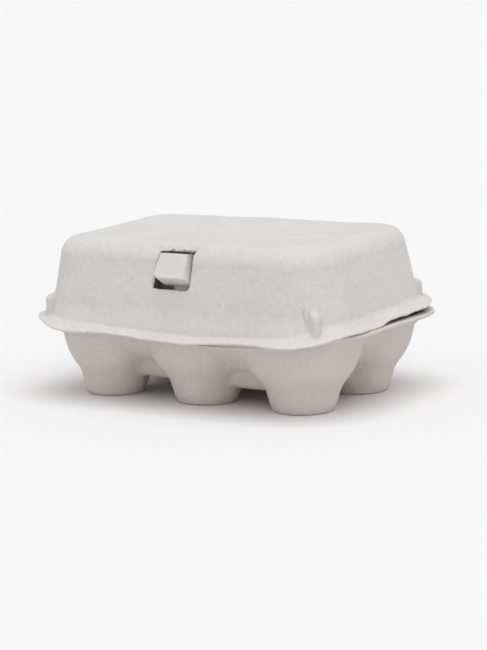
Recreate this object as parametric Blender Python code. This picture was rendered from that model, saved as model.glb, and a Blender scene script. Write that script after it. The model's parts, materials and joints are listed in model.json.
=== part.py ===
"""A six-egg carton of moulded paper pulp: a tray of two rows of three cups, a lid and a lock flap.

The tray stands on its six feet at z = 0. X runs along the three cups, the front is at -Y, and the
origin is under the middle of the carton. The lid turns on a fold along the rear, and the lock flap
turns on a crease along the front, inside the lid. Its button sits in a window in the lid's wall.
"""

import math

import bmesh
import bpy
from mathutils import Matrix, Vector

MM = 0.001

# Driving sizes, in metres.
PITCH = 48 * MM  # between the centres of neighbouring cups, both ways
SHEET = 1.8 * MM  # thickness of the pulp
GAP = 0.3 * MM  # between pieces that meet

# The tray.
CUP_PROFILE = (  # radius and height of a cup's outer side, from the foot up
    (12.7 * MM, 0.0),
    (13.9 * MM, 2.4 * MM),
    (15 * MM, 6 * MM),
    (15.8 * MM, 9.2 * MM),
    (18.2 * MM, 13.3 * MM),
    (19.8 * MM, 15.6 * MM),
    (21.6 * MM, 19.5 * MM),
    (23 * MM, 24 * MM),
    (24.2 * MM, 30 * MM),
    (25.5 * MM, 38 * MM),
    (28 * MM, 60 * MM),
)
FOOT_RINGS = (8 * MM, 12.7 * MM, 13.9 * MM, 15.8 * MM)  # radii that every cup's mesh follows
OUTER_RINGS = (0.25, 0.5, 0.75, 1.0)  # the rest, as shares of the way to the cup's outline
EDGE_STEP = 6.5 * MM  # between the points of a cup's outline
TRAY_HALF = Vector((73 * MM, 49.2 * MM))  # half the outline in which the cups end
TRAY_CORNER = 24.4 * MM
DECK_Z = 33 * MM  # underside of the tray's rim
SADDLE_Z = 7.5 * MM  # underside of the web halfway between two cups
RECESS_PROFILE = (  # depth in from the outline, and height of the underside, between two cups
    (0.0, DECK_Z),
    (4 * MM, 29 * MM),
    (9 * MM, 23.5 * MM),
    (14 * MM, 18 * MM),
    (17.5 * MM, 15.8 * MM),
    (20 * MM, 9.5 * MM),
    (23 * MM, SADDLE_Z),
)
RIM_HALF_X = 79.4 * MM
RIM_REAR = 55.4 * MM
RIM_FRONT = 51.4 * MM
RIM_CORNER = 25 * MM
POST_PROFILE = (  # radius and height of the underside of a divider post, from the tip down
    (3.4 * MM, 55.4 * MM),
    (4.6 * MM, 53 * MM),
    (8 * MM, 36 * MM),
    (11 * MM, 25 * MM),
    (15 * MM, 14 * MM),
    (19 * MM, 9 * MM),
    (24 * MM, SADDLE_Z),
)
POST_CUT = 8 * MM  # radius at which a post's own piece meets the cups

# The lid, in its own frame: X and Y as the tray's, and height above the underside of its flange.
LID_TILT = math.radians(1.7)  # the rear stands higher than the front
LID_HEIGHT = 34.1 * MM
LID_FOOT_HALF = Vector((73.1 * MM, 50.3 * MM))
LID_TOP_HALF = Vector((68.1 * MM, 45.4 * MM))
LID_FOOT_CORNER = 22.2 * MM
LID_TOP_CORNER = 17.8 * MM
LID_FILLET = 8.4 * MM
LID_FLANGE_HALF = Vector((79.4 * MM, 56.4 * MM))
LID_FLANGE_CORNER = 28.2 * MM
LID_LIP_REACH = 1.1 * MM  # how much further the flange reaches along the front
LID_LIP_DROP = 4.2 * MM  # how far that front lip hangs down
LID_LIP_START = 0.84  # share of the way to the front at which the lip starts
LID_LIP_BEND = 2.4 * MM  # where it bends down, out from the lid's wall
LID_FRONT_Z = 35.5 * MM  # height of the flange's underside at the front wall
HINGE = Vector((0, 56.2 * MM, 36.1 * MM))
WINDOW_Z = (50.6 * MM, 67.2 * MM)
WINDOW_LOW_X = (-12 * MM, 8 * MM)  # its lower edge is wider than its upper edge
WINDOW_HIGH_X = (-9 * MM, 9 * MM)
LUG_RADIUS = 2.1 * MM
LUG_PROUD = 2.1 * MM  # how far a lug's axis stands off the wall
LUG_HEIGHT = 9.5 * MM

# The lock flap.
FLAP_LEAN = math.radians(15)
FLAP_FOOT = Vector((0, -46.2 * MM, 36.6 * MM))  # on the crease, in the middle of the sheet
FLAP_HEIGHT = 29.9 * MM
FLAP_HALF_FOOT = 29 * MM
FLAP_HALF_TOP = 26 * MM
FLAP_CORNER = 7 * MM
BUTTON_X = -1.4 * MM  # its middle
BUTTON_HALF_FOOT = 9.4 * MM
BUTTON_HALF_FACE = 7.6 * MM
BUTTON_TOP_SHARE = 0.88  # its width at the top, as a share of its width at the foot
BUTTON_SPAN = (18.6 * MM, 29.2 * MM)  # from the crease, up the flap
BUTTON_DEPTH = (8.4 * MM, 4.8 * MM)  # at its foot and at its top
CREASE_Y = (-47.95 * MM, -45.95 * MM)  # front and rear of the strip that the flap turns on

PULP = (0.565, 0.525, 0.497)


def clear_scene():
    for item in list(bpy.data.objects):
        bpy.data.objects.remove(item, do_unlink=True)


def pulp_material(name, tint=1.0):
    """Matte grey moulded pulp, a little lighter or darker from one piece to the next."""
    material = bpy.data.materials.new(name)
    material.use_nodes = True
    shader = material.node_tree.nodes["Principled BSDF"]
    shader.inputs["Base Color"].default_value = (*(channel * tint for channel in PULP), 1)
    shader.inputs["Roughness"].default_value = 0.95
    shader.inputs["Metallic"].default_value = 0.0
    return material


def add_object(name, mesh_data, parent=None, tint=1.0):
    """Makes the object of a bmesh, shades it, and hangs it on its joint's empty."""
    bmesh.ops.recalc_face_normals(mesh_data, faces=mesh_data.faces)
    mesh = bpy.data.meshes.new(name)
    mesh_data.to_mesh(mesh)
    mesh_data.free()
    mesh.shade_smooth()
    mesh.set_sharp_from_angle(angle=math.radians(40))
    item = bpy.data.objects.new(name, mesh)
    bpy.context.scene.collection.objects.link(item)
    item.data.materials.append(pulp_material(name, tint))
    item.parent = parent
    return item


def add_empty(name, place, tilt=0.0):
    empty = bpy.data.objects.new(name, None)
    empty.location = place
    empty.rotation_euler.x = tilt
    bpy.context.scene.collection.objects.link(empty)
    return empty


def cutter(item):
    item.hide_render = True
    item.display_type = "WIRE"
    return item


def add_boolean(item, other, operation):
    modifier = item.modifiers.new(operation.title(), "BOOLEAN")
    modifier.operation = operation
    modifier.solver = "EXACT"
    modifier.object = other


def loft(rings, first_point=None, last_point=None, loop=False):
    """A mesh through rings of equally many points. It ends in points, or joins up into a loop."""
    mesh_data = bmesh.new()
    rows = [[mesh_data.verts.new(point) for point in ring] for ring in rings]
    pairs = list(zip(rows, rows[1:]))
    if loop:
        pairs.append((rows[-1], rows[0]))
    for low, high in pairs:
        for i in range(len(low)):
            j = (i + 1) % len(low)
            mesh_data.faces.new((low[i], low[j], high[j], high[i]))
    for row, point in ((rows[0], first_point), (rows[-1], last_point)):
        if point is None:
            continue
        tip = mesh_data.verts.new(point)
        for i in range(len(row)):
            mesh_data.faces.new((row[i], row[(i + 1) % len(row)], tip))
    return mesh_data


def rounded_rectangle(half, corner, steps=6):
    """The outline of a rectangle with round corners, anticlockwise from the right side."""
    points = []
    for quarter in range(4):
        sign_x = 1 if quarter in (0, 3) else -1
        sign_y = 1 if quarter in (0, 1) else -1
        centre = Vector((sign_x * (half.x - corner), sign_y * (half.y - corner)))
        for step in range(steps + 1):
            angle = (quarter + step / steps) * math.pi / 2
            points.append(centre + corner * Vector((math.cos(angle), math.sin(angle))))
    return points


def at_height(outline, height):
    return [Vector((point.x, point.y, height)) for point in outline]


def along(table, value):
    """The height at a radius, on straight lines through a table of radii and heights."""
    if value <= table[0][0]:
        return table[0][1]
    for (start, low), (end, high) in zip(table, table[1:]):
        if value <= end:
            return low + (high - low) * (value - start) / (end - start)
    return table[-1][1]


def smooth_step(share):
    share = min(max(share, 0.0), 1.0)
    return share * share * (3 - 2 * share)


def smooth_least(first, second, blend):
    """The lesser of two heights, with a round corner between them."""
    share = max(blend - abs(first - second), 0.0) / blend
    return min(first, second) - share * share * blend / 4


def depth_inside(x, y):
    """How far a point lies in from the outline in which the cups end."""
    over = Vector((abs(x) - TRAY_HALF.x + TRAY_CORNER, abs(y) - TRAY_HALF.y + TRAY_CORNER))
    outside = Vector((max(over.x, 0), max(over.y, 0))).length
    return TRAY_CORNER - outside - min(max(over.x, over.y), 0)


def tray_height(x, y):
    """Height of the underside of the tray's sheet: bowls, low webs between them, and posts."""
    bowl = min(along(CUP_PROFILE, math.hypot(x - cup.x, y - cup.y)) for cup in CUP_PLACES.values())
    recess = along(RECESS_PROFILE, depth_inside(x, y))
    distance = min(math.hypot(x - place.x, y - place.y) for place in POST_PLACES.values())
    divider = recess + along(POST_PROFILE, distance) - SADDLE_Z
    return smooth_least(bowl, divider, 4 * MM)


def tray_point(x, y, thickness):
    """A point of the tray's sheet, on its underside or that much above it along its normal."""
    reach = 0.2 * MM
    slope_x = (tray_height(x + reach, y) - tray_height(x - reach, y)) / (2 * reach)
    slope_y = (tray_height(x, y + reach) - tray_height(x, y - reach)) / (2 * reach)
    normal = Vector((-slope_x, -slope_y, 1)).normalized()
    return Vector((x, y, tray_height(x, y))) + thickness * normal


CUP_PLACES = {
    f"cup_{row}_{column}": Vector((side * PITCH, depth * PITCH / 2))
    for row, depth in (("front", -1), ("rear", 1))
    for column, side in (("left", -1), ("middle", 0), ("right", 1))
}
POST_PLACES = {
    "divider_post_left": Vector((-PITCH / 2, 0)),
    "divider_post_right": Vector((PITCH / 2, 0)),
}


def straight(start, end):
    """Points along a line, about EDGE_STEP apart, without its end."""
    count = max(1, round((end - start).length / EDGE_STEP))
    return [start.lerp(end, i / count) for i in range(count)]


def post_arc(side):
    """The bite that a post takes from a cup's outline, from the plane between the rows outwards."""
    centre = Vector((side * PITCH / 2, -PITCH / 2))
    radius = POST_CUT + GAP / 2
    first = math.asin(GAP / 2 / radius)
    angles = [first + (math.pi / 2 - 2 * first) * i / 3 for i in range(4)]
    return [centre + radius * Vector((-side * math.cos(a), math.sin(a))) for a in angles]


def cup_outline(cup):
    """A cup's outline about its centre, with +Y outwards, and +X outwards on an end cup."""
    inner = PITCH / 2 - GAP / 2
    front = TRAY_HALF.y - PITCH / 2 - GAP / 2
    if cup.x == 0:
        right = post_arc(1)
        left = post_arc(-1)
        corners = [Vector((inner, front)), Vector((-inner, front))]
        points = right[:-1] + straight(right[-1], corners[0]) + straight(corners[0], corners[1])
        points += straight(corners[1], left[-1]) + left[:0:-1] + straight(left[0], right[0])
        return points
    arc = post_arc(-1)
    side = TRAY_HALF.x - PITCH - GAP / 2
    corner = TRAY_CORNER - GAP / 2
    centre = Vector((side - corner, front - corner))
    start = Vector((-inner, front))
    turn = [centre + corner * Vector((math.sin(a), math.cos(a)))
            for a in (math.pi / 2 * i / 6 for i in range(7))]
    points = straight(arc[-1], start) + straight(start, turn[0]) + turn[:-1]
    points += straight(turn[-1], Vector((side, -inner))) + straight(Vector((side, -inner)), arc[0])
    return points + arc[:-1]


def add_cup(name, cup):
    """One cup: foot, bowl, and the sheet around it up to the webs, the posts and the rim."""
    flip_x = -1 if cup.x < 0 else 1
    flip_y = -1 if cup.y < 0 else 1
    outline = cup_outline(cup)
    rings = []
    for radius in FOOT_RINGS:
        rings.append([point.normalized() * radius for point in outline])
    for share in OUTER_RINGS:
        rings.append([foot.lerp(point, share) for foot, point in zip(rings[3], outline)])
    places = [[(cup.x + flip_x * p.x, cup.y + flip_y * p.y) for p in ring] for ring in rings]
    under = [[tray_point(x, y, 0) for x, y in ring] for ring in places]
    upper = [[tray_point(x, y, SHEET) for x, y in ring] for ring in places]
    middle = Vector((cup.x, cup.y, 0))
    mesh_data = loft(under + upper[::-1], middle, middle + Vector((0, 0, SHEET)))
    return add_object(name, mesh_data)


def add_post(name, place):
    """One of the two hollow posts that stand where four cups meet, and hold the lid up."""
    radii = [POST_CUT - GAP / 2] + [radius for radius, _ in reversed(POST_PROFILE) if radius < POST_CUT]
    sides = 8

    def ring(radius, height):
        angles = (2 * math.pi * i / sides for i in range(sides))
        return [Vector((place.x + radius * math.cos(a), place.y + radius * math.sin(a), height))
                for a in angles]

    under = [(radius, along(POST_PROFILE, radius)) for radius in radii]
    upper = []
    for i, (radius, height) in enumerate(under):
        before = under[max(i - 1, 0)]
        after = under[min(i + 1, len(under) - 1)]
        run = Vector((before[0] - after[0], after[1] - before[1])).normalized()
        upper.append((radius + SHEET * run.y, height + SHEET * run.x))
    rings = [ring(*pair) for pair in under] + [ring(*pair) for pair in reversed(upper)]
    tip = Vector((place.x, place.y, POST_PROFILE[0][1] + 0.6 * MM))
    mesh_data = loft(rings, tip, tip + Vector((0, 0, SHEET)))
    return add_object(name, mesh_data)


def rim_outline():
    """The tray's outer edge: a wide flange at the sides and the rear, and a narrow one in front."""
    half_y = (RIM_REAR + RIM_FRONT) / 2
    outline = rounded_rectangle(Vector((RIM_HALF_X, half_y)), RIM_CORNER)
    return [point + Vector((0, (RIM_REAR - RIM_FRONT) / 2)) for point in outline]


def add_rim():
    inner = rounded_rectangle(TRAY_HALF + Vector((GAP, GAP)) / 2, TRAY_CORNER + GAP / 2)
    outer = rim_outline()
    rings = [
        at_height(inner, DECK_Z),
        at_height(outer, DECK_Z),
        at_height(outer, DECK_Z + SHEET),
        at_height(inner, DECK_Z + SHEET),
    ]
    return add_object("tray_rim", loft(rings, loop=True))


def lid_ring(half, corner, height):
    return at_height(rounded_rectangle(half, corner), height)


def lid_flange_ring(thickness):
    """The flange's outer edge, which hangs down and reaches out along the front."""
    ring = lid_ring(LID_FLANGE_HALF, LID_FLANGE_CORNER, thickness)
    for point in ring:
        front = smooth_step((-point.y / LID_FLANGE_HALF.y - LID_LIP_START) / (1 - LID_LIP_START))
        point.z -= LID_LIP_DROP * front
        point.y -= LID_LIP_REACH * front
    return ring


def lid_wall_rings(inset, steps=4):
    """The wall from its foot up, and the round edge of the roof, set in by the sheet's thickness."""
    inner = Vector((inset, inset))
    fillet = LID_FILLET - inset
    corner = LID_TOP_CORNER - inset
    spring = LID_HEIGHT - LID_FILLET
    rings = []
    for step in range(steps + 1):
        angle = math.pi / 2 * step / steps
        pull = fillet * (1 - math.cos(angle))
        half = LID_TOP_HALF - inner - Vector((pull, pull))
        rings.append(lid_ring(half, corner - pull, spring + fillet * math.sin(angle)))
    return rings


def add_lid(hinge):
    """The lid: a shell with a flange, a window for the button and four lugs on its corners."""
    foot = LID_FOOT_HALF
    bevel = Vector((1.2 * MM, 1.2 * MM))  # where the wall turns into the flange
    inner = Vector((SHEET, SHEET))
    outside = [
        lid_ring(foot + bevel, LID_FOOT_CORNER + bevel.x, SHEET),
        lid_ring(foot - bevel / 5, LID_FOOT_CORNER, SHEET + bevel.x),
    ] + lid_wall_rings(0)
    inside = [
        lid_ring(foot - inner + bevel, LID_FOOT_CORNER - inner.x + bevel.x, 0),
        lid_ring(foot - inner - bevel / 5, LID_FOOT_CORNER - inner.x, bevel.x),
    ] + lid_wall_rings(SHEET)
    bend = foot + Vector((LID_LIP_BEND, LID_LIP_BEND))
    bends = [lid_ring(bend, LID_FOOT_CORNER + LID_LIP_BEND, height) for height in (0, SHEET)]
    flange = [bends[0], lid_flange_ring(0), lid_flange_ring(SHEET), bends[1]]
    rings = inside[::-1] + flange + outside
    top = Vector((0, 0, LID_HEIGHT))
    shell = add_object("lid_shell", loft(rings, top - Vector((0, 0, SHEET)), top), hinge, 1.12)
    shell.matrix_parent_inverse = Matrix.Translation(-lid_origin())
    lugs = cutter(add_lugs(hinge))
    window = cutter(add_window())
    add_boolean(shell, lugs, "UNION")
    add_boolean(shell, window, "DIFFERENCE")
    return shell


def lid_origin():
    """The hinge axis, in the lid's own frame."""
    rise = HINGE.z - LID_FRONT_Z
    run = HINGE.y + LID_FOOT_HALF.y
    height = rise * math.cos(LID_TILT) - run * math.sin(LID_TILT)
    along_lid = run * math.cos(LID_TILT) + rise * math.sin(LID_TILT)
    return Vector((0, along_lid - LID_FOOT_HALF.y, height))


def add_lugs(hinge):
    """Four upright half-round lugs, one on each corner of the lid, standing on the flange."""
    mesh_data = bmesh.new()
    for side_x in (-1, 1):
        for side_y in (-1, 1):
            corner = LID_FOOT_HALF - Vector((LID_FOOT_CORNER, LID_FOOT_CORNER))
            reach = (LID_FOOT_CORNER - LUG_RADIUS + LUG_PROUD) / math.sqrt(2)
            place = Vector((side_x * (corner.x + reach), side_y * (corner.y + reach), 0))
            rings = []
            for height, share in ((SHEET / 2, 1.0), (LUG_HEIGHT - 1.6 * MM, 1.0), (LUG_HEIGHT, 0.6)):
                ring = []
                for i in range(12):
                    angle = 2 * math.pi * i / 12
                    spoke = share * LUG_RADIUS * Vector((math.cos(angle), math.sin(angle), 0))
                    ring.append(mesh_data.verts.new(place + spoke + Vector((0, 0, height))))
                rings.append(ring)
            for low, high in zip(rings, rings[1:]):
                for i in range(12):
                    j = (i + 1) % 12
                    mesh_data.faces.new((low[i], low[j], high[j], high[i]))
            mesh_data.faces.new(rings[0][::-1])
            mesh_data.faces.new(rings[-1])
    lugs = add_object("lug_guide", mesh_data, hinge)
    lugs.matrix_parent_inverse = Matrix.Translation(-lid_origin())
    return lugs


def add_window():
    """The cutter for the window in the lid's front wall."""
    mesh_data = bmesh.new()
    front = -LID_FLANGE_HALF.y
    rear = front + 18 * MM
    corners = [(x, WINDOW_Z[0]) for x in WINDOW_LOW_X] + [(x, WINDOW_Z[1]) for x in WINDOW_HIGH_X[::-1]]
    near, far = ([mesh_data.verts.new((x, y, z)) for x, z in corners] for y in (front, rear))
    mesh_data.faces.new(near)
    mesh_data.faces.new(far[::-1])
    for i in range(4):
        j = (i + 1) % 4
        mesh_data.faces.new((near[i], near[j], far[j], far[i]))
    return add_object("window_guide", mesh_data)


def add_lid_fold():
    """The strip that joins the lid to the tray along the rear, folded outwards while it is shut."""
    half = LID_FLANGE_HALF.x - LID_FLANGE_CORNER - 2 * MM
    low = Vector((0, RIM_REAR + GAP, DECK_Z + SHEET / 2))
    high = Vector((0, RIM_REAR + GAP, 2 * HINGE.z - low.z))
    bulge = 1.1 * MM
    thickness = 0.8 * MM
    mesh_data = bmesh.new()
    rows = []
    for offset in (0, thickness):
        for i in range(7):
            share = i / 6
            point = low.lerp(high, share)
            point.y += bulge * math.sin(math.pi * share) + offset
            rows.append([mesh_data.verts.new(point + Vector((side * half, 0, 0))) for side in (-1, 1)])
    order = rows[:7] + rows[:6:-1]
    for i in range(len(order)):
        here, after = order[i], order[(i + 1) % len(order)]
        mesh_data.faces.new((here[0], here[1], after[1], after[0]))
    for side in (0, 1):
        mesh_data.faces.new([row[side] for row in order])
    return add_object("lid_fold", mesh_data)


def flap_outline():
    """The flap's panel, flat, from the crease up: a tongue with two round upper corners."""
    low = 0.45 * MM
    points = [Vector((-FLAP_HALF_FOOT, low)), Vector((FLAP_HALF_FOOT, low))]
    for side in (1, -1):
        centre = Vector((side * (FLAP_HALF_TOP - FLAP_CORNER), FLAP_HEIGHT - FLAP_CORNER))
        angles = [math.pi / 2 * i / 4 for i in range(5)]
        arc = [centre + FLAP_CORNER * Vector((side * math.cos(a), math.sin(a))) for a in angles]
        points += arc if side > 0 else arc[::-1]
    return points


def add_flap(crease):
    """The lock flap's panel, which stands on the crease and leans inwards."""
    mesh_data = bmesh.new()
    front = [mesh_data.verts.new((p.x, -SHEET / 2, p.y)) for p in flap_outline()]
    back = [mesh_data.verts.new((p.x, SHEET / 2, p.y)) for p in flap_outline()]
    mesh_data.faces.new(front)
    mesh_data.faces.new(back[::-1])
    for i in range(len(front)):
        j = (i + 1) % len(front)
        mesh_data.faces.new((front[i], back[i], back[j], front[j]))
    panel = add_object("flap_panel", mesh_data, crease, 1.05)
    hollow = cutter(add_button_wedge("hollow_guide", crease, SHEET, 6 * MM))
    add_boolean(panel, hollow, "DIFFERENCE")
    return panel


def add_button_wedge(name, crease, inset, behind):
    """A wedge that stands off the flap, highest at its foot. Inset makes the hollow inside it."""
    front = -SHEET / 2 - GAP
    low, high = BUTTON_SPAN[0] + inset, BUTTON_SPAN[1] - inset
    corners = [(-1, low, 1.0, BUTTON_DEPTH[0]), (1, low, 1.0, BUTTON_DEPTH[0]),
               (1, high, BUTTON_TOP_SHARE, BUTTON_DEPTH[1]), (-1, high, BUTTON_TOP_SHARE, BUTTON_DEPTH[1])]
    mesh_data = bmesh.new()
    back = []
    face = []
    for side, height, share, depth in corners:
        back_half = BUTTON_HALF_FOOT * share - inset
        face_half = BUTTON_HALF_FACE * share - inset
        back.append(mesh_data.verts.new((BUTTON_X + side * back_half, front + behind, height)))
        face.append(mesh_data.verts.new((BUTTON_X + side * face_half, front - depth + inset, height)))
    mesh_data.faces.new(back)
    mesh_data.faces.new(face[::-1])
    for i in range(4):
        j = (i + 1) % 4
        mesh_data.faces.new((back[i], back[j], face[j], face[i]))
    return add_object(name, mesh_data, crease)


def add_button(crease):
    """The button: a hollow wedge on the flap, whose blunt lower end catches under the lid's wall."""
    button = add_button_wedge("lock_button", crease, 0, 0)
    hollow = cutter(add_button_wedge("button_hollow_guide", crease, SHEET, 1 * MM))
    add_boolean(button, hollow, "DIFFERENCE")
    return button


def add_flap_crease():
    """The thin strip that joins the lock flap to the front of the tray."""
    mesh_data = bmesh.new()
    low = DECK_Z + SHEET + GAP
    size = Vector((2 * FLAP_HALF_FOOT, CREASE_Y[1] - CREASE_Y[0], FLAP_FOOT.z - low))
    place = Vector((0, sum(CREASE_Y) / 2, (FLAP_FOOT.z + low) / 2))
    matrix = Matrix.Translation(place) @ Matrix.Diagonal((*size, 1))
    bmesh.ops.create_cube(mesh_data, size=1, matrix=matrix)
    return add_object("flap_crease", mesh_data)


def build_carton():
    clear_scene()
    for name, cup in CUP_PLACES.items():
        add_cup(name, cup)
    for name, place in POST_PLACES.items():
        add_post(name, place)
    add_rim()
    add_lid_fold()
    add_flap_crease()
    add_lid(add_empty("lid_hinge", HINGE, LID_TILT))
    crease = add_empty("flap_fold", FLAP_FOOT, -FLAP_LEAN)
    add_flap(crease)
    add_button(crease)


build_carton()
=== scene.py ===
"""Looks for the six-egg carton of moulded paper pulp.

The tray, the lid and the lock flap are each one continuous skin of pulp, as on the real object, built
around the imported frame. Lengths are in metres. X runs along the three cups, and the front is at -Y.
"""

import itertools
import json
import math

import bpy
import numpy as np
from mathutils import Matrix, Vector


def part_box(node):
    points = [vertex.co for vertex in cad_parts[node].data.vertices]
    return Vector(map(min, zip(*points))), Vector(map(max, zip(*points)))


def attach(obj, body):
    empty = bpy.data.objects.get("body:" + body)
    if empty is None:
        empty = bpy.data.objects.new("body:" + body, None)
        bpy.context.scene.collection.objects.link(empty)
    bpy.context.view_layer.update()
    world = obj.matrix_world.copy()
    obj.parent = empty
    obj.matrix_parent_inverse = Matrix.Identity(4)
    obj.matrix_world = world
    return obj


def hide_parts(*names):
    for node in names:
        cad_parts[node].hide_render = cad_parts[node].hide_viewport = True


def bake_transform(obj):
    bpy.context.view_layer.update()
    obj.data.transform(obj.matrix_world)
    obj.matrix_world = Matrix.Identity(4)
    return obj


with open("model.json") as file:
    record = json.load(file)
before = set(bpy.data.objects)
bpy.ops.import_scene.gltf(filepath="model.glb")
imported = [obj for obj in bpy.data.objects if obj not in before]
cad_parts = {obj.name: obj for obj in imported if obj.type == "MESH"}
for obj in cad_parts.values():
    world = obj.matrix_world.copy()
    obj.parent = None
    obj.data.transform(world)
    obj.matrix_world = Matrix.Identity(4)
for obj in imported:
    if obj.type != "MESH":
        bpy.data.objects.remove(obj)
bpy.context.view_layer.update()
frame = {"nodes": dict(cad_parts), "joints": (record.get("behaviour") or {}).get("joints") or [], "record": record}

MM = 0.001


# ---------------------------------------------------------------- sizes read from the frame

def node_box(name):
    low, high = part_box(name)
    return np.array(low), np.array(high)


def joint_place(name):
    joint = next(joint for joint in frame["joints"] if joint["name"] == name)
    return np.array(joint["pos_m"])


def mount(name):
    return next(item for item in frame["record"]["mounts"] if item["name"] == name)


CUPS = [name for name in frame["nodes"] if name.startswith("cup_")]
POSTS = [name for name in frame["nodes"] if name.startswith("divider_post_")]
POST_CENTRES = [sum(node_box(name))[:2] / 2 for name in sorted(POSTS)]
PITCH = POST_CENTRES[1][0] - POST_CENTRES[0][0]
CUP_CENTRES = [np.array((column * PITCH, row * PITCH / 2)) for row in (-1, 1) for column in (-1, 0, 1)]
RIM_LOW, RIM_HIGH = node_box("tray_rim")
CREASE = joint_place("flap_press")
ROOF_AXIS = mount("roof_stack")["axis"]
LID_TILT = math.atan2(-ROOF_AXIS[1], ROOF_AXIS[2])

SHEET = 1.8 * MM  # thickness of the pulp

# The tray: radius and height of a cup's outer side, and of the underside of a divider post.
CUP_PROFILE = np.array(
    ((0, 0), (12.7, 0), (13.9, 2.4), (15, 6), (15.8, 9.2), (16.8, 11), (18.2, 13.3), (19.8, 15.6),
     (21.6, 19.5), (23, 24), (24.2, 30), (25.5, 38), (28, 60), (90, 400))) * MM
POST_PROFILE = np.array(
    ((0, 56), (3.4, 55.4), (4.6, 53), (8, 36), (11, 25), (15, 14), (19, 9), (24, 7.8), (90, 7.8))) * MM
SADDLE_Z = POST_PROFILE[-1][1]  # underside of the web halfway between two cups
DECK_Z = RIM_LOW[2]
# Between two cups: depth in from the outline, and height of the underside.
RECESS_PROFILE = np.array(
    ((-5, 33), (0, 33), (4, 29), (9, 23.5), (14, 18.2), (17.2, 16.2), (18.4, 13.5), (19.8, 10), (22, 8),
     (25, 7.8), (90, 7.8))) * MM
WEB_SLOPE = -0.04  # rise per length along X, so the web on the left stands a little higher
TRAY_HALF = np.array((73, 49.2)) * MM  # half the outline in which the cups end
TRAY_CORNER = 24.4 * MM
POST_CUT = 8 * MM  # radius at which a post's share of the tray meets the cups'
STEP = 1.25 * MM  # between the points of a cup's outline
POST_STEP = STEP / 1.5  # the same, round a post
EDGE_BAND = 0.9 * MM  # left free inside the rim's and the flange's outlines for the ragged edge
FRONT_RIM_SHY = 2.2 * MM  # how much narrower the rim is in front, where the lid's lip covers it
REAR_CORNER_REACH = 12 * MM  # the rim's rear corners stand out by a quarter of this
LEFT_DRAWN_IN = 4.2 * MM  # how far the tray's left end is drawn in
TRAY_FRAY = 0.3  # how much of the torn edges' colour the tray's edge shows

# The lid, in its own frame: height is above the underside of its flange.
LID_HEIGHT = 34.1 * MM
LID_FOOT_HALF = np.array((73.1, 50.3)) * MM
LID_TOP_HALF = np.array((68.1, 45.4)) * MM
LID_FOOT_CORNER = 22.2 * MM
LID_TOP_CORNER = 17.8 * MM
LID_FILLET = 8.4 * MM
LID_FLANGE_HALF = np.array((79.2, 56.2)) * MM
LID_FLANGE_CORNER = 28.0 * MM
LID_FRONT_Z = 35.5 * MM  # height of the flange's underside at the front wall
LID_FRAY = 0.55  # how much of the torn edges' colour the lid's edges show
LID_WANDER = (34 * MM, 0.4 * MM, 51)  # size, amount and seed of the warp that the lid and its fibres share
FOOT_FILLET = 3.0 * MM  # radius between the wall and the flange
FRONT_FILLET = 0.9 * MM  # the same, along the front
FLANGE_SHARES = (0.02, 0.06, 0.11, 0.17, 0.24, 0.33, 0.44, 0.57, 0.7, 0.82, 0.92, 1.0)  # its rows
WALL_FLARE = 1.4 * MM  # how far the front wall spreads at its foot
LIP_REACH = 0.9 * MM  # how much further the flange reaches along the front
LIP_RUN = 5.4 * MM  # how far out the lip slopes down by its whole height
# Along X, in millimetres: the height of the lid's foot in front, where the wall turns out into the lip,
# and the height of the lip's lower edge. Both are lowest a little right of the middle, and the edge
# hangs low again towards both corners.
LIP_FOOT = ((-75, 36.9), (-66, 36.0), (-55, 35.3), (-42, 35.1), (-32, 34.5), (-21, 33.9), (-6, 32.8),
            (9, 32.4), (18, 32.7), (33, 33.4), (42, 33.9), (52, 34.2), (59, 34.9), (66, 36.0), (75, 37.6))
LIP_EDGE = ((-68, 36.6), (-61, 33.2), (-50, 32.0), (-33, 33.3), (-18, 32.2), (-4, 31.0), (9, 30.9),
            (30, 32.7), (43, 32.9), (52, 32.0), (61, 31.9), (68, 33.4), (74, 35.4))

WINDOW_LOW = 15.0 * MM  # above the underside of the flange
WINDOW_HIGH = 32.7 * MM
WINDOW_LOW_X = (-12.1 * MM, 7.9 * MM)  # its lower edge is wider than its upper edge
WINDOW_HIGH_X = (-9.1 * MM, 8.9 * MM)
WINDOW_CORNER = 2.0 * MM  # radius of its lower corners
FRAY_LENGTH = 1.5 * MM  # of the torn fibres over the window
LUG_HEIGHT = 9.6 * MM
LUG_HALF_WIDTH = 2.2 * MM
LUG_PROUD = 4.6 * MM
LUG_SHIFT = {(1, -1): 1.1 * MM, (1, 1): 0.0, (-1, -1): -0.8 * MM, (-1, 1): 0.0}  # round the corner
GROOVE_DEPTH = 0.8 * MM  # of the crease beside the front right lug
GROOVE_WIDTH = 0.35 * MM

# The lock flap, from its crease up.
FLAP_LEAN = math.radians(15)
FLAP_HEIGHT = 29.9 * MM
FLAP_HALF_FOOT = 29 * MM
FLAP_HALF_TOP = 26 * MM
FLAP_CORNER = 7 * MM
BUTTON_X = -1.4 * MM  # its middle
BUTTON_HALF_FOOT = 9.7 * MM
BUTTON_HALF_FACE = 7.6 * MM
BUTTON_TOP_SHARE = 0.88  # its width at the top, as a share of its width at the foot
BUTTON_SPAN = (15.3 * MM, 29.4 * MM)
BUTTON_DEPTH = (8.9 * MM, 5.2 * MM)  # at its foot and at its top
BUTTON_END = 2.6 * MM  # how far up the flap its blunt lower end reaches
BUTTON_TOP = 1.4 * MM  # the same, down the flap, for its upper end
BUTTON_CHAMFER = 1.7 * MM  # cut off its lower left corner
BUTTON_ROUND = 0.7 * MM  # over which its faces blend
DENT_X = (-16 * MM, -2.5 * MM)  # the hollow in the flap, left of and below the button
DENT_SPAN = (11 * MM, 21 * MM)
DENT_DEPTH = 8 * MM
FLAP_FINE_HALF = 13 * MM  # half the width in which the flap's mesh is fine
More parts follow.
